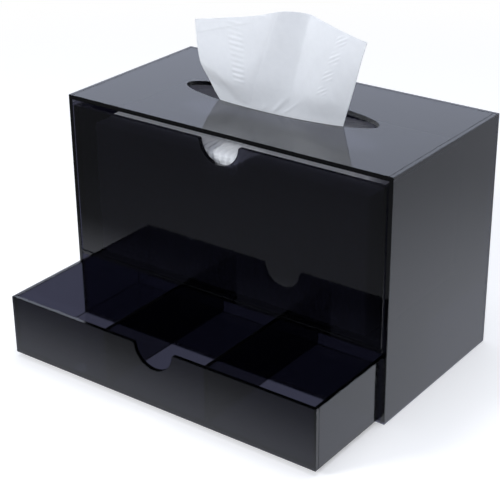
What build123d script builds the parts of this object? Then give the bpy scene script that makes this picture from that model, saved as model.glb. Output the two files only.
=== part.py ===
"""Tissue box with a pull-out tissue tray and a three-compartment drawer.

The case, tray and drawer are glued from one thickness of smoke-tinted acrylic sheet.
Millimetres. Origin: middle of the case's footprint, on the table. The front faces -Y,
+Z is up. The tray is closed and the drawer stands part-way open.
"""
from build123d import *
from math import sqrt
import os

# ---- driving dimensions -------------------------------------------------------------

case_width = 250.0
case_depth = 130.0
case_height = 165.0
sheet = 3.0                   # thickness of every acrylic panel
edge_break = 0.3              # polished bevel along every sheet edge

drawer_bay_height = 46.0      # clear height between the bottom panel and the shelf
side_clearance = 0.9          # tray or drawer to the case's side panel, each side
glide_clearance = 0.3         # under the tray and under the drawer
back_clearance = 2.0          # behind the tray and the drawer when they are closed
reveal = 3.7                  # finger-wide light gap above the tray and the drawer

drawer_opening = 70.0         # how far the drawer is pulled out as modelled
compartments = 3

notch_radius = 15.0           # finger notch in the top edge of both fronts
notch_mouth_fillet = 1.5

slot_length = 150.0           # oval tissue slot in the top panel
slot_width = 36.0

stack_side_gap = 11.1         # interfolded tissues to the tray's side wall, each side
stack_front_gap = 1.5         # to the tray's front sheet
stack_back_gap = 11.5         # to the tray's back wall
stack_headroom = 12.0         # below the tray's rim
stack_edge_radius = 2.5

tissue_thickness = 0.6        # pulled tissue, all its plies together
tissue_lip_clearance = 0.6    # from the slot's front edge
tissue_tuck = 2.0             # how far it reaches below the top panel
tissue_rise = 68.0            # its highest point above the top panel
tissue_left_rise = 49.0       # its left corner
tissue_right_rise = 56.0      # its right corner
tissue_ridge_width = 22.0     # the short level edge at its highest point

# Upright lines of the pulled tissue. Each gives its place across the slot where it leaves
# the top panel, then its place across and its depth at the height of the highest point.
# The two creases bound the pleat in the middle.
tissue_left_edge = (-39.5, -57.0, -10.0)
tissue_left_crease = (-13.0, 9.0, -20.0)
tissue_right_crease = (8.5, 32.0, -9.0)
tissue_right_edge = (57.0, 78.0, -17.0)
tissue_pleat = 3.5            # how far the right crease stands behind the slot's edge
tissue_left_bow = 5.0         # how far the left edge swells outwards
tissue_spare = 14.0           # extra width that the outline trims away

# ---- derived places -----------------------------------------------------------------

inner_width = case_width - 2 * sheet
inner_depth = case_depth - sheet
front_y = -case_depth / 2
back_y = case_depth / 2
panel_mid_y = front_y + inner_depth / 2

bottom_top_z = sheet
shelf_z = bottom_top_z + drawer_bay_height
shelf_top_z = shelf_z + sheet
top_z = case_height - sheet
tray_bay_height = top_z - shelf_top_z

box_width = inner_width - 2 * side_clearance
box_depth = inner_depth - back_clearance
drawer_height = drawer_bay_height - glide_clearance - reveal
tray_height = tray_bay_height - glide_clearance - reveal
drawer_z = bottom_top_z + glide_clearance
tray_z = shelf_top_z + glide_clearance

os.makedirs("parts", exist_ok=True)


def save(label, part):
    """Label a finished piece and write it to its own file."""
    part.label = label
    export_step(part, f"parts/{label}.step")


def plain_panel(label, plane, width, height):
    """A rectangular sheet, centred on the plane's origin and standing on the plane."""
    with BuildPart() as panel:
        with BuildSketch(plane):
            Rectangle(width, height)
        extrude(amount=sheet)
        chamfer(panel.edges(), edge_break)
    save(label, panel.part)


def notched_front(label, plane, width, height):
    """A front sheet with a half-round finger notch in the middle of its top edge."""
    with BuildPart() as front:
        with BuildSketch(plane):
            Rectangle(width, height)
            with Locations((0, height / 2)):
                Circle(notch_radius, mode=Mode.SUBTRACT)
            mouth = vertices().filter_by_position(Axis.X, -notch_radius - 1, notch_radius + 1)
            fillet(mouth, notch_mouth_fillet)
        extrude(amount=sheet)
        chamfer(front.edges(), edge_break)
    save(label, front.part)


# ---- planes to build on -------------------------------------------------------------

def level_plane(y, z):
    """A plane that faces up."""
    return Plane(origin=(0, y, z), x_dir=(1, 0, 0), z_dir=(0, 0, 1))


def front_plane(y, z):
    """A plane that faces the back, so that a sheet on it grows away from the viewer."""
    return Plane(origin=(0, y, z), x_dir=(-1, 0, 0), z_dir=(0, 1, 0))


def side_plane(x, y, z):
    """A plane that faces right. Its own X runs towards the back."""
    return Plane(origin=(x, y, z), x_dir=(0, 1, 0), z_dir=(1, 0, 0))


# ---- case ---------------------------------------------------------------------------
# The side panels stand full height. The top, the shelf and the bottom lie between them,
# and the back panel closes the rear over all their edges.

side_z = case_height / 2
left_x = -case_width / 2
right_x = case_width / 2 - sheet
plain_panel("left_side_panel", side_plane(left_x, panel_mid_y, side_z), inner_depth, case_height)
plain_panel("right_side_panel", side_plane(right_x, panel_mid_y, side_z), inner_depth, case_height)
plain_panel("back_panel", front_plane(back_y - sheet, side_z), case_width, case_height)
plain_panel("bottom_panel", level_plane(panel_mid_y, 0), inner_width, inner_depth)
plain_panel("shelf_panel", level_plane(panel_mid_y, shelf_z), inner_width, inner_depth)

with BuildPart() as top_panel:
    with BuildSketch(level_plane(panel_mid_y, top_z)):
        Rectangle(inner_width, inner_depth)
    extrude(amount=sheet)
    chamfer(top_panel.edges(), edge_break)
    with BuildSketch(level_plane(0, top_z)):
        Ellipse(slot_length / 2, slot_width / 2)
    extrude(amount=sheet, mode=Mode.SUBTRACT)
    fillet(top_panel.edges().filter_by(GeomType.ELLIPSE), edge_break)
save("top_panel", top_panel.part)


# ---- tray and drawer ----------------------------------------------------------------
# Both are open boxes of the same make. The front sheet covers the ends of the side
# walls, the back wall stands between them, and the floor lies inside all four.

def open_box(name, y, z, height):
    """The five sheets of a box whose front face is at y and whose underside is at z."""
    wall_depth = box_depth - sheet
    wall_y = y + sheet + wall_depth / 2
    mid_z = z + height / 2
    between = box_width - 2 * sheet
    notched_front(f"{name}_front", front_plane(y, mid_z), box_width, height)
    left = side_plane(-box_width / 2, wall_y, mid_z)
    right = side_plane(box_width / 2 - sheet, wall_y, mid_z)
    plain_panel(f"{name}_left_wall", left, wall_depth, height)
    plain_panel(f"{name}_right_wall", right, wall_depth, height)
    back = front_plane(y + box_depth - sheet, mid_z)
    plain_panel(f"{name}_back_wall", back, between, height)
    floor = level_plane(y + box_depth / 2, z)
    plain_panel(f"{name}_floor", floor, between, box_depth - 2 * sheet)


tray_y = front_y
drawer_y = front_y - drawer_opening
open_box("tray", tray_y, tray_z, tray_height)
open_box("drawer", drawer_y, drawer_z, drawer_height)

# Dividers stand on the drawer's floor, level with its rim, and part it into equal
# compartments.
divider_height = drawer_height - sheet
divider_z = drawer_z + sheet + divider_height / 2
divider_depth = box_depth - 2 * sheet
room = box_width - 2 * sheet - (compartments - 1) * sheet
pitch = room / compartments + sheet
divider_names = ["left_divider", "right_divider"]
for index in range(compartments - 1):
    x = -box_width / 2 + (index + 1) * pitch
    divider = side_plane(x, drawer_y + box_depth / 2, divider_z)
    plain_panel(divider_names[index], divider, divider_depth, divider_height)

# ---- tissues ------------------------------------------------------------------------

stack_width = box_width - 2 * (sheet + stack_side_gap)
stack_depth = box_depth - 2 * sheet - stack_front_gap - stack_back_gap
stack_height = tray_height - sheet - stack_headroom
stack_y = tray_y + sheet + stack_front_gap + stack_depth / 2
with BuildPart() as tissue_stack:
    with BuildSketch(level_plane(stack_y, tray_z + sheet)):
        RectangleRounded(stack_width, stack_depth, stack_edge_radius)
    extrude(amount=stack_height)
    fillet(tissue_stack.faces().sort_by(Axis.Z)[-1].edges(), stack_edge_radius)
save("tissue_stack", tissue_stack.part)


# The pulled tissue stands against the slot's front edge. Its sheet is a ruled loft from
# the pleated line below the top panel to the pleated line at its highest point, and its
# outline as seen from the front then trims the corners, the ridge and the left edge.

tissue_low_z = top_z - tissue_tuck
tissue_high_z = case_height + tissue_rise
below_rim = (case_height - tissue_low_z) / tissue_rise


def rim_point(line, setback=0.0):
    """Where a line of the tissue leaves the slot, held off the slot's front edge."""
    x = line[0]
    slot_edge_y = -slot_width / 2 * sqrt(1 - (2 * x / slot_length) ** 2)
    return Vector(x, slot_edge_y + tissue_lip_clearance + setback)


def high_point(line):
    """Where a line of the tissue meets the level of the highest point."""
    return Vector(line[1], line[2])


def low_point(rim, high):
    """The line from high to rim, carried on below the top panel."""
    return rim + (rim - high) * below_rim


def pleated_strip(left_edge, left_crease, right_crease, right_edge):
    """The thin outline of the sheet through four points, longer by the spare width."""
    left_way = (left_edge - left_crease).normalized()
    right_way = (right_edge - right_crease).normalized()
    left_end = left_edge + left_way * tissue_spare
    right_end = right_edge + right_way * tissue_spare
    front = [left_end, left_crease, right_crease, right_end]
    behind = [point + Vector(0, tissue_thickness) for point in reversed(front)]
    Polyline(*front, *behind, close=True)


rims = [
    rim_point(tissue_left_edge),
    rim_point(tissue_left_crease),
    rim_point(tissue_right_crease, tissue_pleat),
    rim_point(tissue_right_edge),
]
highs = [
    high_point(tissue_left_edge),
    high_point(tissue_left_crease),
    high_point(tissue_right_crease),
    high_point(tissue_right_edge),
]
lows = [low_point(rim, high) for rim, high in zip(rims, highs)]

left_foot = (lows[0].X, tissue_low_z)
right_foot = (lows[3].X, tissue_low_z)
left_corner = (highs[0].X, case_height + tissue_left_rise)
right_corner = (highs[3].X, case_height + tissue_right_rise)
ridge_right = (highs[2].X, tissue_high_z)
ridge_left = (highs[2].X - tissue_ridge_width, tissue_high_z)

with BuildPart() as pulled_tissue:
    with BuildSketch(Plane.XY.offset(tissue_low_z)):
        with BuildLine():
            pleated_strip(*lows)
        make_face()
    with BuildSketch(Plane.XY.offset(tissue_high_z)):
        with BuildLine():
            pleated_strip(*highs)
        make_face()
    loft(ruled=True)
    with BuildSketch(Plane.XZ.offset(-back_y)):
        with BuildLine():
            Polyline(left_foot, right_foot, right_corner, ridge_right, ridge_left, left_corner)
            SagittaArc(left_corner, left_foot, -tissue_left_bow)
        make_face()
    extrude(amount=case_depth, mode=Mode.INTERSECT)
save("pulled_tissue", pulled_tissue.part)
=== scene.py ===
from collections import namedtuple
from math import cos, exp, pi, radians, sin, sqrt

import bmesh
import bpy
from mathutils import Matrix, Vector


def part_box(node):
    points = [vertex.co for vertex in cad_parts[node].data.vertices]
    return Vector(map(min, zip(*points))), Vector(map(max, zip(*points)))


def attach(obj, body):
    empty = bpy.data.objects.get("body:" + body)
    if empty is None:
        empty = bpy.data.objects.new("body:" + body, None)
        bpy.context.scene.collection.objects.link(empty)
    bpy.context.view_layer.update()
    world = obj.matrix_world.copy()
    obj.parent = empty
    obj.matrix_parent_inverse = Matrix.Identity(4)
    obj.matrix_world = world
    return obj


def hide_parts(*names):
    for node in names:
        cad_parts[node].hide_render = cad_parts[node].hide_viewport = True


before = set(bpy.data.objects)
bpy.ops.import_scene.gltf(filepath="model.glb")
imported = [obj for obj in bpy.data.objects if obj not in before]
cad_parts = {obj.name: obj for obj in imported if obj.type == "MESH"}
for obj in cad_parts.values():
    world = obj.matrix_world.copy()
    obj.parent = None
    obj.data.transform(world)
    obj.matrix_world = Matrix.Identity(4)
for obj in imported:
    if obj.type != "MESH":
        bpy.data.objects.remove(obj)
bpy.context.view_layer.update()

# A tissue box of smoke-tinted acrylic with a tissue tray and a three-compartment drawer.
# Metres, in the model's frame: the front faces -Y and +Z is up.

MM = 0.001

# ---- the photograph's view ----------------------------------------------------------

CAMERA_AZIMUTH = radians(36.6)
CAMERA_ELEVATION = radians(25.3)
CAMERA_ROLL = radians(-0.6)
CAMERA_PLACE = Vector((0.4904, -0.6936, 0.4674))
FOCAL_PIXELS = 1385.0          # focal length in pixels of a frame this wide
FRAME_WIDTH = 500.0
SENSOR_WIDTH = 36.0            # millimetres
CLIP_START = 0.01

# ---- light --------------------------------------------------------------------------

WHITE = (1.0, 1.0, 1.0, 1.0)
AMBIENT = 0.29                 # what matt surfaces receive from all round
BACKDROP = 0.84                # what gloss mirrors of the backdrop behind
ROOM = 0.09                    # what gloss mirrors of the room in front
BACKDROP_EDGE = (-0.4, 0.55)   # where the room turns into the backdrop, from front to back
DAYLIGHT = (0.955, 0.975, 1.0)    # the lamps' tint
SKYLIGHT = (0.82, 0.95, 1.22)     # the tint of what fills the shade
MIRRORED_TINT = (0.93, 1.0, 1.2)  # the tint of what gloss mirrors
AIM = Vector((0.0, 0.0, 0.12))
# The lamps' names, places, powers in watts and sizes in metres.
LAMPS = (
    ("key_softbox", Vector((-0.75, -1.25, 0.73)), 10.7, 0.4),
    ("fill_softbox", Vector((0.80, -1.08, 0.80)), 4.2, 0.5),
    ("overhead_softbox", Vector((0.1, 0.1, 1.7)), 12.5, 1.2),
)

# ---- acrylic ------------------------------------------------------------------------

ACRYLIC_IOR = 1.49
ACRYLIC_SHINE = 1.0            # specular level
ACRYLIC_POLISH = 0.45          # weight of the clear polished coat
SMOKE_DENSITY = 760.0          # absorption in one metre
SMOKE_COLOUR = (0.04, 0.04, 0.17)
FACE_HAZE = (0.012, 0.05)      # roughness of the sheets' faces, from clean to smudged
EDGE_HAZE = (0.05, 0.10)       # roughness of their cut edges, between the saw marks
CUT_EDGE = (0.6, 0.8)          # a face turned this far from the sheet's thin axis is an edge
SMUDGE_SCALE, SMUDGE_DETAIL, SMUDGE_ROUGHNESS = 14.0, 4.0, 0.55
SMUDGE_RANGE = (0.45, 0.75)    # from clean to smudged in the noise
SAW_MARK_SCALE, SAW_MARK_DETAIL = 120.0, 2.0
SAW_MARK_RANGE = (0.3, 0.7)
WAVE_SCALE, WAVE_DETAIL = 9.0, 1.0    # the slow waves of a cast sheet
WAVE_HEIGHT = 1.0 * MM
WAVE_STRENGTH = 0.04
SMUDGED_TINT = (0.95, 0.95, 0.97, 1.0)

# ---- tissues ------------------------------------------------------------------------

PAPER_COLOUR = (0.88, 0.885, 0.89)
MOTTLE_SCALE, MOTTLE_DETAIL, MOTTLE_ROUGHNESS = 260.0, 4.0, 0.6
MOTTLE_DIM = 0.93              # how dark the mottling goes
FIBRE_SCALE, FIBRE_DETAIL, FIBRE_ROUGHNESS = 2400.0, 3.0, 0.65
FIBRE_RANGE = (0.3, 0.7)
PAPER_ROUGHNESS = (0.82, 0.96)
CREPE_HEIGHT = 0.12 * MM
CREPE_STRENGTH = 0.25
CREPE_MOTTLE = 0.6             # the mottling's share in the crepe's relief
PAPER_SHINE = 0.2              # specular level
PAPER_GLOW = 0.25              # weight of the light that passes through
PAPER_DEPTH = 0.8 * MM

CRIMP_PITCH = 4.7 * MM         # from one embossed bar to the next on the stack
DRAWN_PITCH = 3.5 * MM         # the same on the pulled tissue
CRIMP_DEPTH = 0.35 * MM        # how far the bars stand out on the pulled tissue


# ---- helpers for node materials -----------------------------------------------------

class Nodes:
    """A short way to add and link the nodes of one material or world."""

    def __init__(self, owner):
        owner.use_nodes = True
        self.tree = owner.node_tree
        self.tree.nodes.clear()

    def add(self, kind, settings=None, **inputs):
        node = self.tree.nodes.new(kind)
        for name, value in (settings or {}).items():
            setattr(node, name, value)
        for name, value in inputs.items():
            self.set(node, name.replace("_", " "), value)
        return node

    def set(self, node, name, value):
        socket = node.inputs[int(name)] if name.isdigit() else node.inputs[name]
        if isinstance(value, bpy.types.NodeSocket):
            self.tree.links.new(value, socket)
        else:
            socket.default_value = value

    def math(self, operation, *values):
        node = self.tree.nodes.new("ShaderNodeMath")
        node.operation = operation
        for index, value in enumerate(values):
            self.set(node, str(index), value)
        return node.outputs[0]

    def remap(self, value, low, high, to_low, to_high):
        node = self.tree.nodes.new("ShaderNodeMapRange")
        node.interpolation_type = "SMOOTHSTEP"
        for index, item in enumerate((value, low, high, to_low, to_high)):
            self.set(node, str(index), item)
        return node.outputs[0]

    def mix(self, factor, first, second):
        node = self.add("ShaderNodeMix", {"data_type": "RGBA"})
        self.set(node, "0", factor)
        self.set(node, "6", first)
        self.set(node, "7", second)
        return node.outputs[2]

    def mix_numbers(self, factor, first, second):
        node = self.add("ShaderNodeMix", {"data_type": "FLOAT"})
        self.set(node, "0", factor)
        self.set(node, "2", first)
        self.set(node, "3", second)
        return node.outputs[0]

    def mix_shaders(self, factor, first, second):
        node = self.tree.nodes.new("ShaderNodeMixShader")
        for index, item in enumerate((factor, first, second)):
            self.set(node, str(index), item)
        return node.outputs[0]

    def noise(self, vector, scale, detail, roughness=0.5):
        node = self.add("ShaderNodeTexNoise", Scale=scale, Detail=detail, Roughness=roughness)
        self.set(node, "Vector", vector)
        return node.outputs["Fac"]

    def bump(self, height, strength, distance):
        node = self.add("ShaderNodeBump", Strength=strength, Distance=distance, Height=height)
        return node.outputs[0]

    def surface(self, shader):
        output = self.add("ShaderNodeOutputMaterial")
        self.tree.links.new(shader, output.inputs["Surface"])
        return output


def rgba(colour):
    return (*colour, 1.0)


# ---- acrylic ------------------------------------------------------------------------

def sheet_roughness(nodes, place, smudges, thin_axis):
    """Clean to smudged on the faces. The cut edges, which face away from the sheet's thin
    axis, show their saw marks and are a little duller."""
    normal = nodes.add("ShaderNodeSeparateXYZ", Vector=place.outputs["Normal"])
    across = nodes.math("ABSOLUTE", normal.outputs[thin_axis])
    edge = nodes.remap(across, *CUT_EDGE, 1.0, 0.0)
    haze = nodes.remap(smudges, *SMUDGE_RANGE, *FACE_HAZE)
    saw_marks = nodes.noise(place.outputs["Object"], SAW_MARK_SCALE, SAW_MARK_DETAIL)
    edge_haze = nodes.remap(saw_marks, *SAW_MARK_RANGE, *EDGE_HAZE)
    return nodes.mix_numbers(edge, haze, edge_haze)


def smoke_acrylic(name, thin_axis):
    """Polished smoke acrylic sheet, faintly wavy, that darkens with thickness."""
    material = bpy.data.materials.new(name)
    nodes = Nodes(material)
    place = nodes.add("ShaderNodeTexCoord")
    spot = place.outputs["Object"]
    smudges = nodes.noise(spot, SMUDGE_SCALE, SMUDGE_DETAIL, SMUDGE_ROUGHNESS)
    roughness = sheet_roughness(nodes, place, smudges, thin_axis)
    tint = nodes.mix(smudges, SMUDGED_TINT, WHITE)
    waves = nodes.noise(spot, WAVE_SCALE, WAVE_DETAIL)
    bump = nodes.bump(waves, WAVE_STRENGTH, WAVE_HEIGHT)
    shader = nodes.add(
        "ShaderNodeBsdfPrincipled",
        Base_Color=tint,
        Roughness=roughness,
        IOR=ACRYLIC_IOR,
        Normal=bump,
    )
    nodes.set(shader, "Specular IOR Level", ACRYLIC_SHINE)
    nodes.set(shader, "Transmission Weight", 1.0)
    nodes.set(shader, "Coat Weight", ACRYLIC_POLISH)
    smoke = nodes.add("ShaderNodeVolumeAbsorption", Color=rgba(SMOKE_COLOUR))
    nodes.set(smoke, "Density", SMOKE_DENSITY)
    output = nodes.surface(shader.outputs[0])
    nodes.tree.links.new(smoke.outputs[0], output.inputs["Volume"])
    return material


def dress_acrylic():
    """Every acrylic node gets the smoke acrylic of its thin axis."""
    axes = "XYZ"
    sheets = {axis: smoke_acrylic(f"smoke_acrylic_{axis.lower()}", axis) for axis in axes}
    for name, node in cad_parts.items():
        if "tissue" in name:
            continue
        low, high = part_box(name)
        size = high - low
        thin_axis = min(range(3), key=lambda axis: size[axis])
        node.data.materials.clear()
        node.data.materials.append(sheets[axes[thin_axis]])


# ---- tissue paper -------------------------------------------------------------------

def tissue_paper():
    """Soft two-ply tissue: matt, faintly mottled and creped, and a little translucent."""
    material = bpy.data.materials.new("tissue_paper")
    nodes = Nodes(material)
    place = nodes.add("ShaderNodeTexCoord").outputs["Object"]
    mottle = nodes.noise(place, MOTTLE_SCALE, MOTTLE_DETAIL, MOTTLE_ROUGHNESS)
    dim = tuple(part * MOTTLE_DIM for part in PAPER_COLOUR)
    shade = nodes.mix(mottle, rgba(dim), rgba(PAPER_COLOUR))
    fibres = nodes.noise(place, FIBRE_SCALE, FIBRE_DETAIL, FIBRE_ROUGHNESS)
    crepe = nodes.math("ADD", nodes.math("MULTIPLY", mottle, CREPE_MOTTLE), fibres)
    bump = nodes.bump(crepe, CREPE_STRENGTH, CREPE_HEIGHT)
    roughness = nodes.remap(fibres, *FIBRE_RANGE, *PAPER_ROUGHNESS)
    shader = nodes.add(
        "ShaderNodeBsdfPrincipled",
        Base_Color=shade,
        Roughness=roughness,
        Normal=bump,
    )
    nodes.set(shader, "Specular IOR Level", PAPER_SHINE)
    nodes.set(shader, "Subsurface Weight", PAPER_GLOW)
    nodes.set(shader, "Subsurface Radius", (1.0, 1.0, 1.0))
    nodes.set(shader, "Subsurface Scale", PAPER_DEPTH)
    nodes.surface(shader.outputs[0])
    return material


# ---- mesh helpers -------------------------------------------------------------------

def grid_object(name, columns, rows, point, material):
    """A sheet of columns by rows quads through point(across, up), with both from 0 to 1."""
    vertices = []
    for row in range(rows + 1):
        for column in range(columns + 1):
            vertices.append(point(column / columns, row / rows))
    faces = []
    for row in range(rows):
        for column in range(columns):
            corner = row * (columns + 1) + column
            above = corner + columns + 1
            faces.append((corner, corner + 1, above + 1, above))
    return mesh_object(name, vertices, faces, material)


def mesh_object(name, vertices, faces, material):
    mesh = bpy.data.meshes.new(name)
    mesh.from_pydata([tuple(vertex) for vertex in vertices], [], faces)
    mesh.polygons.foreach_set("use_smooth", [True] * len(mesh.polygons))
    mesh.materials.append(material)
    piece = bpy.data.objects.new(name, mesh)
    bpy.context.scene.collection.objects.link(piece)
    return piece


def smoothstep(low, high, value):
    share = min(1.0, max(0.0, (value - low) / (high - low)))
    return share * share * (3 - 2 * share)


def bell(value, centre, width):
    """A bump of height 1 at the centre that has died away two widths from it."""
    return exp(-((value - centre) / width) ** 2)


# ---- pulled tissue ------------------------------------------------------------------

# Upright lines of the sheet, from its left edge over its two creases to its right edge:
# how far along the sheet each lies, then where it leaves the slot and where it ends up at
# the height of the ridge, as x and y in millimetres.
LEFT_CREASE, RIGHT_CREASE = 0.40, 0.58
TISSUE_LINES = (
    (0.0, (-37.0, -15.0), (-60.0, -10.5)),
    (LEFT_CREASE, (-11.5, -16.9), (12.5, -20.2)),
    (RIGHT_CREASE, (16.0, -13.7), (30.5, -9.0)),
    (1.0, (56.5, -11.1), (78.4, -17.0)),
)
TISSUE_CREASE = 0.018          # how far along the sheet a crease's bend reaches
TISSUE_FOOT = 160.4 * MM
TISSUE_RIM = 165.0 * MM
TISSUE_RIDGE = 232.8 * MM
TISSUE_COLUMNS, TISSUE_ROWS = 270, 170
TISSUE_PLY = 0.3 * MM
LEFT_BOW = 6.2 * MM            # how far the left edge swells outwards, a third of the way up
BOW_SCALE = 27 / 4             # brings rise * (1 - rise) ** 2 to 1 at its highest
# The top edge: how far along the sheet, and how high above the table, in millimetres.
TISSUE_TOP = (
    (0.00, 215.7), (0.10, 219.3), (0.20, 223.1), (0.28, 226.0), (0.345, 228.8), (0.38, 231.0),
    (0.42, 232.5), (0.47, 232.8), (0.52, 232.4), (0.58, 231.4), (0.74, 228.1), (1.00, 223.0),
)


def bent_line(share, index):
    """x and y along the sheet at the rim (index 1) or at the ridge (index 2): straight runs
    between the lines, with a soft bend at each crease."""
    first = TISSUE_LINES[0]
    value = Vector(first[index])
    slope = Vector((0.0, 0.0))
    for start, end in zip(TISSUE_LINES, TISSUE_LINES[1:]):
        new_slope = (Vector(end[index]) - Vector(start[index])) / (end[0] - start[0])
        run = share - start[0]
        width = TISSUE_CREASE if start is not first else 0.0
        bend = (run + sqrt(run * run + width * width)) / 2
        value += (new_slope - slope) * bend
        slope = new_slope
    return value


def spline_height(share):
    """The height of the top edge, as a smooth curve through TISSUE_TOP."""
    for index in range(len(TISSUE_TOP) - 1):
        if share <= TISSUE_TOP[index + 1][0]:
            break
    before = TISSUE_TOP[max(index - 1, 0)]
    start, end = TISSUE_TOP[index], TISSUE_TOP[index + 1]
    after = TISSUE_TOP[min(index + 2, len(TISSUE_TOP) - 1)]
    span = end[0] - start[0]
    turn_in = (end[1] - before[1]) / (end[0] - before[0]) * span
    turn_out = (after[1] - start[1]) / (after[0] - start[0]) * span
    t = (share - start[0]) / span
    height = (2 * t ** 3 - 3 * t ** 2 + 1) * start[1] + (t ** 3 - 2 * t ** 2 + t) * turn_in
    height += (-2 * t ** 3 + 3 * t ** 2) * end[1] + (t ** 3 - t ** 2) * turn_out
    return height * MM


def emboss(distance_along, distance_across, length, pitch):
    """One column of short raised bars, 0 to 1."""
    wave = 0.5 + 0.5 * cos(2 * pi * distance_along / pitch)
    return wave * (1 - smoothstep(0.6, 1.15, abs(distance_across) / (length / 2)))


# Heights up the sheet are shares of the way from the slot's rim to the ridge, here and below.
FREE_RISE = 0.25               # from here on up the slot no longer holds the sheet flat
LEFT_SWELL, RIGHT_SWELL = 1.6 * MM, 1.5 * MM
TURNED_FOLD = 0.26             # where the slanting fold starts at the left edge
TURN_OUT = 3.0 * MM            # how far the left half leans out above that fold
DENT_DEPTH = 0.45 * MM
# The small folds that fan out from the pleat's foot: where each starts along the sheet, how
# far it leans to the right on its way up, its height in millimetres and how far up it dies.
FAN_FOLDS = (
    (0.47, 0.10, 0.30, 0.05), (0.515, 0.30, 0.50, 0.13), (0.56, 0.62, 0.28, 0.10),
)
# The two embossed columns: how far along the sheet each lies at the rim and how far it has
# drifted at the ridge, the sheet's width, the lean and length of the bars, the heights between
# which they fade in, how strong they are, and the share and rhythm of a slow change in that.
Column = namedtuple("Column", "place drift width lean length fade_in strength change rhythm")
EMBOSSED_COLUMNS = (
    Column(0.33, -0.138, 135 * MM, 0.06, 12 * MM, (0.18, 0.26), 0.70, 0.30, 310),
    Column(0.77, 0.085, 110 * MM, -0.70, 8 * MM, (0.24, 0.32), 0.44, 0.36, 520),
)
TOP_MARGIN = 0.05              # the bars fade out over this share of the height, at the top
# The ply is folded over below the top edge of the left half. The fold's line starts this far
# below the edge at the left, and nears it by the second number over the sheet's width.
HEM_DROP, HEM_CLIMB = 9.0 * MM, 14.0 * MM
HEM_WIDTH = 0.7 * MM           # half the width of the step at the fold
HEM_HEIGHT = 0.22 * MM
HEM_END = (0.22, 0.36)         # where it dies along the sheet
SLOW_WAVES, PUCKER = 0.5 * MM, 0.10 * MM


def swelling(across, rise, above):
    """How far the sheet's two halves stand out towards the viewer."""
    left_share = min(across / LEFT_CREASE, 1.0)
    right_share = max((across - RIGHT_CREASE) / (1 - RIGHT_CREASE), 0.0)
    out = LEFT_SWELL * above * sin(pi * left_share)
    out += RIGHT_SWELL * above * sin(pi * right_share)
    # The left half leans out over the slot's edge and turns under along a slanting fold,
    # with a shallow blotchy dent below it.
    fold = TURNED_FOLD * (1 - left_share) ** 0.8
    turned = smoothstep(fold - 0.12, fold + 0.10, rise) * smoothstep(0.0, 0.06, rise)
    out += TURN_OUT * turned * (1 - left_share ** 3)
    dent = bell(rise, 0.11 + 0.10 * (1 - left_share), 0.08) * sin(pi * left_share) ** 2
    out -= DENT_DEPTH * dent * (1 + 0.6 * sin(38 * across + 17 * rise))
    return out


def fan_folds(across, rise):
    """How far the small folds at the pleat's foot stand out."""
    held = max(rise, 0.0)
    out = 0.0
    for start, lean, height, reach in FAN_FOLDS:
        ridge = bell(across, start + lean * held, 0.010 + 0.05 * held)
        fade = bell(rise, 0.3 * reach, reach) * smoothstep(-0.02, 0.04, rise)
        out += height * MM * ridge * fade
    return out


def embossing(across, rise, z):
    """How far the bars of the two embossed columns stand out."""
    out = 0.0
    for column in EMBOSSED_COLUMNS:
        off = (across - (column.place + column.drift * rise)) * column.width
        bars = emboss(z + column.lean * off, off, column.length, DRAWN_PITCH)
        strength = column.strength + column.change * sin(column.rhythm * z)
        out += bars * smoothstep(*column.fade_in, rise) * strength
    return CRIMP_DEPTH * out


def hem(across, below_top):
    """How far the ply stands out where it is folded over, at a depth below the top edge."""
    over = smoothstep(-HEM_WIDTH, HEM_WIDTH, HEM_DROP - HEM_CLIMB * across - below_top)
    return HEM_HEIGHT * over * (1 - smoothstep(*HEM_END, across))


def unevenness(across, rise):
    """Slow waves, and a fine pucker round the columns."""
    waves = SLOW_WAVES * sin(9.0 * across + 4.0 * rise) * cos(5.0 * across - 7.0 * rise)
    return waves + PUCKER * sin(61 * across + 9 * rise) * sin(23 * rise + 17 * across)


def tissue_point(across, up):
    """A point of the pulled tissue."""
    top = spline_height(across)
    z = TISSUE_FOOT + (top - TISSUE_FOOT) * up
    rise = (z - TISSUE_RIM) / (TISSUE_RIDGE - TISSUE_RIM)
    above = smoothstep(0.0, FREE_RISE, rise)
    rim = bent_line(across, 1)
    high = bent_line(across, 2)
    x, y = (rim + (high - rim) * rise) * MM
    bow = BOW_SCALE * max(rise, 0.0) * (1 - min(rise, 1.0)) ** 2
    x -= LEFT_BOW * bow * (1 - across) ** 3
    y -= swelling(across, rise, above) + fan_folds(across, rise)
    y -= embossing(across, rise, z) * smoothstep(0.0, TOP_MARGIN, 1 - up)
    y -= hem(across, top - z)
    y += above * unevenness(across, rise)
    return Vector((x, y, z))


def make_pulled_tissue(material):
    piece = grid_object("drawn_tissue", TISSUE_COLUMNS, TISSUE_ROWS, tissue_point, material)
    shell = piece.modifiers.new("ply", "SOLIDIFY")
    shell.thickness = TISSUE_PLY
    shell.offset = -1.0
    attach(piece, "case")
    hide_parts("pulled_tissue")
    return piece


# ---- tissue stack -------------------------------------------------------------------

STACK_PLY = 3.4 * MM           # from one folded tissue to the next
STACK_CORNER = 3.0 * MM
STACK_TOP_ROUND = 0.7 * MM
STACK_RIM = 1.4 * MM           # the loose top edge stands this far above the solid's top
STACK_DRAWN = 7.4 * MM         # how far the top sheet is drawn up under the slot
STACK_SLOPE = 0.38             # how steeply it climbs from the front edge
STACK_END_SLOPE = 9.0 * MM     # how far in from the ends and from the back it reaches
STACK_BACK_SLOPE = 38.0 * MM   # its full height
FOOT_SIDES = (30 * MM, 52 * MM)      # beside the pulled tissue's foot, across and
FOOT_FRONT = (-28 * MM, -8 * MM)     # from front to back, it falls back again
FALL_BACK = 0.8
# How deep the relief of the stack's sides is.
SEAM_DEPTH, CRIMP_RELIEF = 0.8 * MM, 1.2 * MM
CUT_RELIEF, LOOSE_RELIEF = 0.35 * MM, 0.25 * MM
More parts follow.
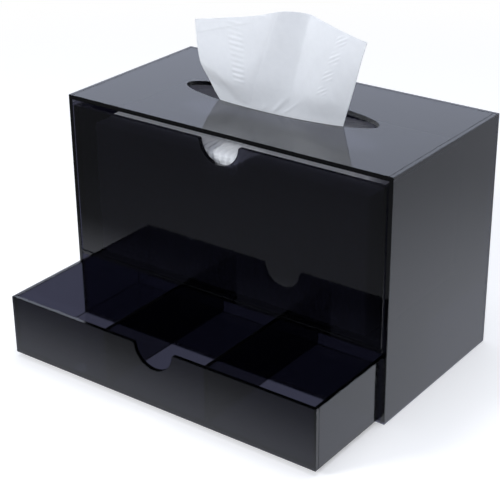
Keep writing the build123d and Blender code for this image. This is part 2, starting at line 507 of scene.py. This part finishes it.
# The relief of its top.
BAR_HEIGHT, BAR_LENGTH = 1.1 * MM, 11 * MM
BAR_INSET = 8 * MM             # from the front or back edge to the middle of the bars
BAR_LEAN = 0.35
BAR_FADE = (4 * MM, 9 * MM)    # how far from the ends the bars fade in
RIPPLE_HEIGHT, RIPPLE_PITCH = 0.5 * MM, 3.4 * MM
RIPPLE_LEAN = 0.8
RIPPLE_PLACE = 64 * MM         # the ripples lie this far either side, under the slot's ends
RIPPLE_WIDTH, RIPPLE_DEPTH = 14 * MM, 16 * MM
HOLLOW_DEPTH = 0.4 * MM
TOP_SETTLE = 2 * MM            # the relief grows to full height this far in from the rim
WELD = 0.02 * MM
STACK_SIDE_ROWS = 112
STACK_TOP_ROWS = 48
# How many quads lie along the front and the back, along each end, and round each corner.
STACK_LONG, STACK_SHORT, STACK_BEND = 240, 36, 5


def stack_outline(half_x, half_y):
    """The way round the stack from its front left corner: x, y and the outward direction."""
    straight_x, straight_y = half_x - STACK_CORNER, half_y - STACK_CORNER
    outline = []
    for side in range(4):
        angle = pi / 2 * side
        out = Vector((sin(angle), -cos(angle)))
        along = Vector((cos(angle), sin(angle)))
        reach, straight = ((half_y, straight_x), (half_x, straight_y))[side % 2]
        steps = (STACK_LONG, STACK_SHORT)[side % 2]
        for step in range(steps):
            run = straight * (2 * step / steps - 1)
            outline.append((out * reach + along * run, out))
        centre = out * (reach - STACK_CORNER) + along * straight
        for step in range(STACK_BEND):
            turn = angle + pi / 2 * step / STACK_BEND
            way = Vector((sin(turn), -cos(turn)))
            outline.append((centre + way * STACK_CORNER, way))
    return outline


def stack_inset(place, out, z, top):
    """How far the stack's side lies inside its outline. In front and behind it shows folded
    edges with seams and crimps between them, and at both ends the cut edges of the plies."""
    ply = z / STACK_PLY
    folded = abs(out.y) ** 4
    crimp = 0.5 + 0.5 * cos(2 * pi * place.x / CRIMP_PITCH + 0.5 * sin(ply * 2.1))
    seam = 1 - abs(sin(pi * ply)) ** 0.5
    cut = 0.5 + 0.5 * sin(ply * 9)
    inset = folded * (SEAM_DEPTH * seam + CRIMP_RELIEF * crimp) + (1 - folded) * CUT_RELIEF * cut
    inset += LOOSE_RELIEF * (1 + sin(place.x * 38 + place.y * 51 + 5 * sin(ply * 0.23)))
    rounding = max(0.0, (z - (top - STACK_TOP_ROUND)) / STACK_TOP_ROUND)
    return inset + STACK_TOP_ROUND * (1 - sqrt(max(0.0, 1 - rounding * rounding)))


def stack_drawn(x, y, end_gap, half_y):
    """The share, 0 to 1, to which the pulled tissue has drawn the top sheet up: a slope from
    the front edge that levels out under the slot."""
    climb = STACK_SLOPE * (y + half_y) / STACK_DRAWN
    drawn = climb / (1 + climb ** 4) ** 0.25 * smoothstep(0.0, STACK_END_SLOPE, end_gap)
    beside = smoothstep(*FOOT_SIDES, abs(x)) * smoothstep(*FOOT_FRONT, y)
    return drawn * smoothstep(0.0, STACK_BACK_SLOPE, half_y - y) * (1 - FALL_BACK * beside)


def stack_relief(x, y, end_gap, long_gap):
    """The small relief of the top: an embossed row along its front and its back, ripples
    under the slot's ends and slow hollows."""
    bars = emboss(x - BAR_LEAN * y, long_gap - BAR_INSET, BAR_LENGTH, CRIMP_PITCH)
    bars *= smoothstep(*BAR_FADE, end_gap)
    ripples = 0.5 + 0.5 * cos(2 * pi * (RIPPLE_LEAN * x + y) / RIPPLE_PITCH)
    ripples *= bell(abs(x), RIPPLE_PLACE, RIPPLE_WIDTH) * bell(y, 0.0, RIPPLE_DEPTH)
    hollows = 0.5 + 0.5 * sin(31 * x + 1.3) * sin(47 * y)
    relief = BAR_HEIGHT * bars + RIPPLE_HEIGHT * ripples - HOLLOW_DEPTH * hollows
    return relief * smoothstep(0.0, TOP_SETTLE, min(end_gap, long_gap))


def stack_lift(x, y, half_x, half_y):
    """How far the stack's top sheet stands above its rim at x, y from the middle."""
    end_gap, long_gap = half_x - abs(x), half_y - abs(y)
    drawn = stack_drawn(x, y, end_gap, half_y)
    return STACK_DRAWN * drawn + stack_relief(x, y, end_gap, long_gap)


def ring_faces(columns, rows):
    """The quads between stacked rings of vertices, and one face that closes the bottom."""
    faces = []
    for row in range(rows):
        base, above = row * columns, (row + 1) * columns
        for column in range(columns):
            after = (column + 1) % columns
            faces.append((base + column, base + after, above + after, above + column))
    faces.append(tuple(reversed(range(columns))))
    return faces


def weld_doubles(mesh):
    """Join the vertices that meet on the line along the middle of the top."""
    weld = bmesh.new()
    weld.from_mesh(mesh)
    bmesh.ops.remove_doubles(weld, verts=weld.verts, dist=WELD)
    weld.to_mesh(mesh)
    weld.free()


def make_tissue_stack(material):
    """A block of interfolded tissues: folded edges in front and behind, with upright crimps,
    cut edges at both ends, and an embossed row along the front and back of its top."""
    low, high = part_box("tissue_stack")
    middle = (low + high) / 2
    half_x, half_y = (high.x - low.x) / 2, (high.y - low.y) / 2
    rim_z = high.z + STACK_RIM
    outline = stack_outline(half_x, half_y)
    columns = len(outline)
    vertices = []
    for row in range(STACK_SIDE_ROWS + 1):
        z = low.z + (rim_z - low.z) * row / STACK_SIDE_ROWS
        for place, out in outline:
            spot = place - out * stack_inset(place, out, z, rim_z)
            vertices.append((middle.x + spot.x, middle.y + spot.y, z))
    # The top is made of rings that shrink from the rim to a line along the middle.
    rim = vertices[-columns:]
    for row in range(1, STACK_TOP_ROWS + 1):
        share = row / STACK_TOP_ROWS
        for x, y, _ in rim:
            x = (x - middle.x) * (1 - share * half_y / half_x)
            y = (y - middle.y) * (1 - share)
            lift = stack_lift(x, y, half_x, half_y)
            vertices.append((middle.x + x, middle.y + y, rim_z + lift))
    faces = ring_faces(columns, STACK_SIDE_ROWS + STACK_TOP_ROWS)
    piece = mesh_object("tissue_pad", vertices, faces, material)
    weld_doubles(piece.data)
    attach(piece, "tissue_tray")
    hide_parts("tissue_stack")
    return piece


# ---- stage --------------------------------------------------------------------------

FLOOR_HALF = 6.0
FLOOR_COLOUR = (0.955, 0.93, 0.91, 1.0)
FLOOR_LIFT = 0.33              # keeps the floor white to the eye
FLOOR_FADE = (0.35, 0.9)       # where the floor turns into plain white, from the middle
# What gloss mirrors of the floor: it is brightest near the middle and dims with distance,
# and towards the room in front.
FLOOR_TINT = (0.96, 1.0, 1.12)
FLOOR_MIRRORED, FAR_DIM = 0.68, 0.40
NEAR_FLOOR, FAR_FLOOR = 0.16, 0.46
FRONT_DIM = 0.24
FRONT_DIM_START, FRONT_DIM_END = -0.13, -0.20     # along Y


def seen_by_eye(nodes, path):
    """1 for what the camera sees, straight or through the acrylic, else 0."""
    return nodes.math(
        "MAXIMUM", path.outputs["Is Camera Ray"], path.outputs["Is Transmission Ray"]
    )


def floor_material():
    material = bpy.data.materials.new("pale_floor")
    material.cycles.emission_sampling = "NONE"
    nodes = Nodes(material)
    path = nodes.add("ShaderNodeLightPath")
    place = nodes.add("ShaderNodeTexCoord").outputs["Object"]
    parts = nodes.add("ShaderNodeSeparateXYZ", Vector=place)
    reach = nodes.add("ShaderNodeVectorMath", {"operation": "LENGTH"})
    nodes.set(reach, "0", place)
    distance = reach.outputs["Value"]

    matt = nodes.add("ShaderNodeBsdfDiffuse", Color=FLOOR_COLOUR)
    lift = nodes.add("ShaderNodeEmission", Color=WHITE)
    nodes.set(lift, "Strength", nodes.math("MULTIPLY", path.outputs["Is Camera Ray"], FLOOR_LIFT))
    lit = nodes.add("ShaderNodeAddShader")
    nodes.set(lit, "0", matt.outputs[0])
    nodes.set(lit, "1", lift.outputs[0])

    front = nodes.remap(parts.outputs["Y"], FRONT_DIM_END, FRONT_DIM_START, FRONT_DIM, 1.0)
    falloff = nodes.remap(distance, NEAR_FLOOR, FAR_FLOOR, FLOOR_MIRRORED, FAR_DIM)
    mirrored = nodes.math("MULTIPLY", front, falloff)
    mirror = nodes.add("ShaderNodeEmission", Color=rgba(FLOOR_TINT), Strength=mirrored)
    near = nodes.mix_shaders(path.outputs["Is Glossy Ray"], lit.outputs[0], mirror.outputs[0])

    white = nodes.add("ShaderNodeEmission", Color=WHITE, Strength=1.0)
    far = nodes.remap(distance, *FLOOR_FADE, 0.0, 1.0)
    fade = nodes.math("MULTIPLY", far, seen_by_eye(nodes, path))
    nodes.surface(nodes.mix_shaders(fade, near, white.outputs[0]))
    return material


def make_floor():
    mesh = bpy.data.meshes.new("floor")
    h = FLOOR_HALF
    mesh.from_pydata([(-h, -h, 0), (h, -h, 0), (h, h, 0), (-h, h, 0)], [], [(0, 1, 2, 3)])
    mesh.materials.append(floor_material())
    floor = bpy.data.objects.new("floor", mesh)
    bpy.context.scene.collection.objects.link(floor)


def make_world():
    """White to the eye; to gloss, a bright backdrop behind and a dim room in front."""
    world = bpy.data.worlds.new("studio")
    bpy.context.scene.world = world
    nodes = Nodes(world)
    path = nodes.add("ShaderNodeLightPath")
    glossy = path.outputs["Is Glossy Ray"]
    seen = seen_by_eye(nodes, path)
    way = nodes.add("ShaderNodeTexCoord").outputs["Generated"]
    parts = nodes.add("ShaderNodeSeparateXYZ", Vector=way)
    mirrored = nodes.remap(parts.outputs["Y"], *BACKDROP_EDGE, ROOM, BACKDROP)
    unseen_strength = nodes.mix_numbers(glossy, AMBIENT, mirrored)
    strength = nodes.mix_numbers(seen, unseen_strength, 1.0)
    unseen_colour = nodes.mix(glossy, rgba(SKYLIGHT), rgba(MIRRORED_TINT))
    colour = nodes.mix(seen, unseen_colour, WHITE)
    light = nodes.add("ShaderNodeBackground", Color=colour, Strength=strength)
    output = nodes.add("ShaderNodeOutputWorld")
    nodes.tree.links.new(light.outputs[0], output.inputs["Surface"])


def make_lamp(name, place, power, size):
    """A softbox that lights the object, but is neither mirrored in it nor seen through it."""
    lamp = bpy.data.lights.new(name, "AREA")
    lamp.energy = power
    lamp.size = size
    lamp.color = DAYLIGHT
    piece = bpy.data.objects.new(name, lamp)
    piece.location = place
    piece.rotation_mode = "QUATERNION"
    piece.rotation_quaternion = (AIM - place).to_track_quat("-Z", "Y")
    bpy.context.scene.collection.objects.link(piece)
    piece.visible_camera = False
    piece.visible_glossy = False
    piece.visible_transmission = False


def make_camera():
    data = bpy.data.cameras.new("camera")
    data.sensor_width = SENSOR_WIDTH
    data.lens = FOCAL_PIXELS / FRAME_WIDTH * SENSOR_WIDTH
    data.clip_start = CLIP_START
    camera = bpy.data.objects.new("camera", data)
    bpy.context.scene.collection.objects.link(camera)
    right = Vector((cos(CAMERA_AZIMUTH), sin(CAMERA_AZIMUTH), 0.0))
    level = cos(CAMERA_ELEVATION)
    back = Vector((
        sin(CAMERA_AZIMUTH) * level, -cos(CAMERA_AZIMUTH) * level, sin(CAMERA_ELEVATION),
    ))
    up = back.cross(right)
    rolled_right = right * cos(CAMERA_ROLL) + up * sin(CAMERA_ROLL)
    rolled_up = up * cos(CAMERA_ROLL) - right * sin(CAMERA_ROLL)
    turn = Matrix((rolled_right, rolled_up, back)).transposed()
    camera.matrix_world = Matrix.Translation(CAMERA_PLACE) @ turn.to_4x4()
    bpy.context.scene.camera = camera


# ---- the scene ----------------------------------------------------------------------

dress_acrylic()
paper = tissue_paper()
tissue = make_pulled_tissue(paper)
make_tissue_stack(paper)
make_floor()
make_world()
for lamp in LAMPS:
    make_lamp(*lamp)
make_camera()
bpy.context.scene.view_settings.view_transform = "Standard"
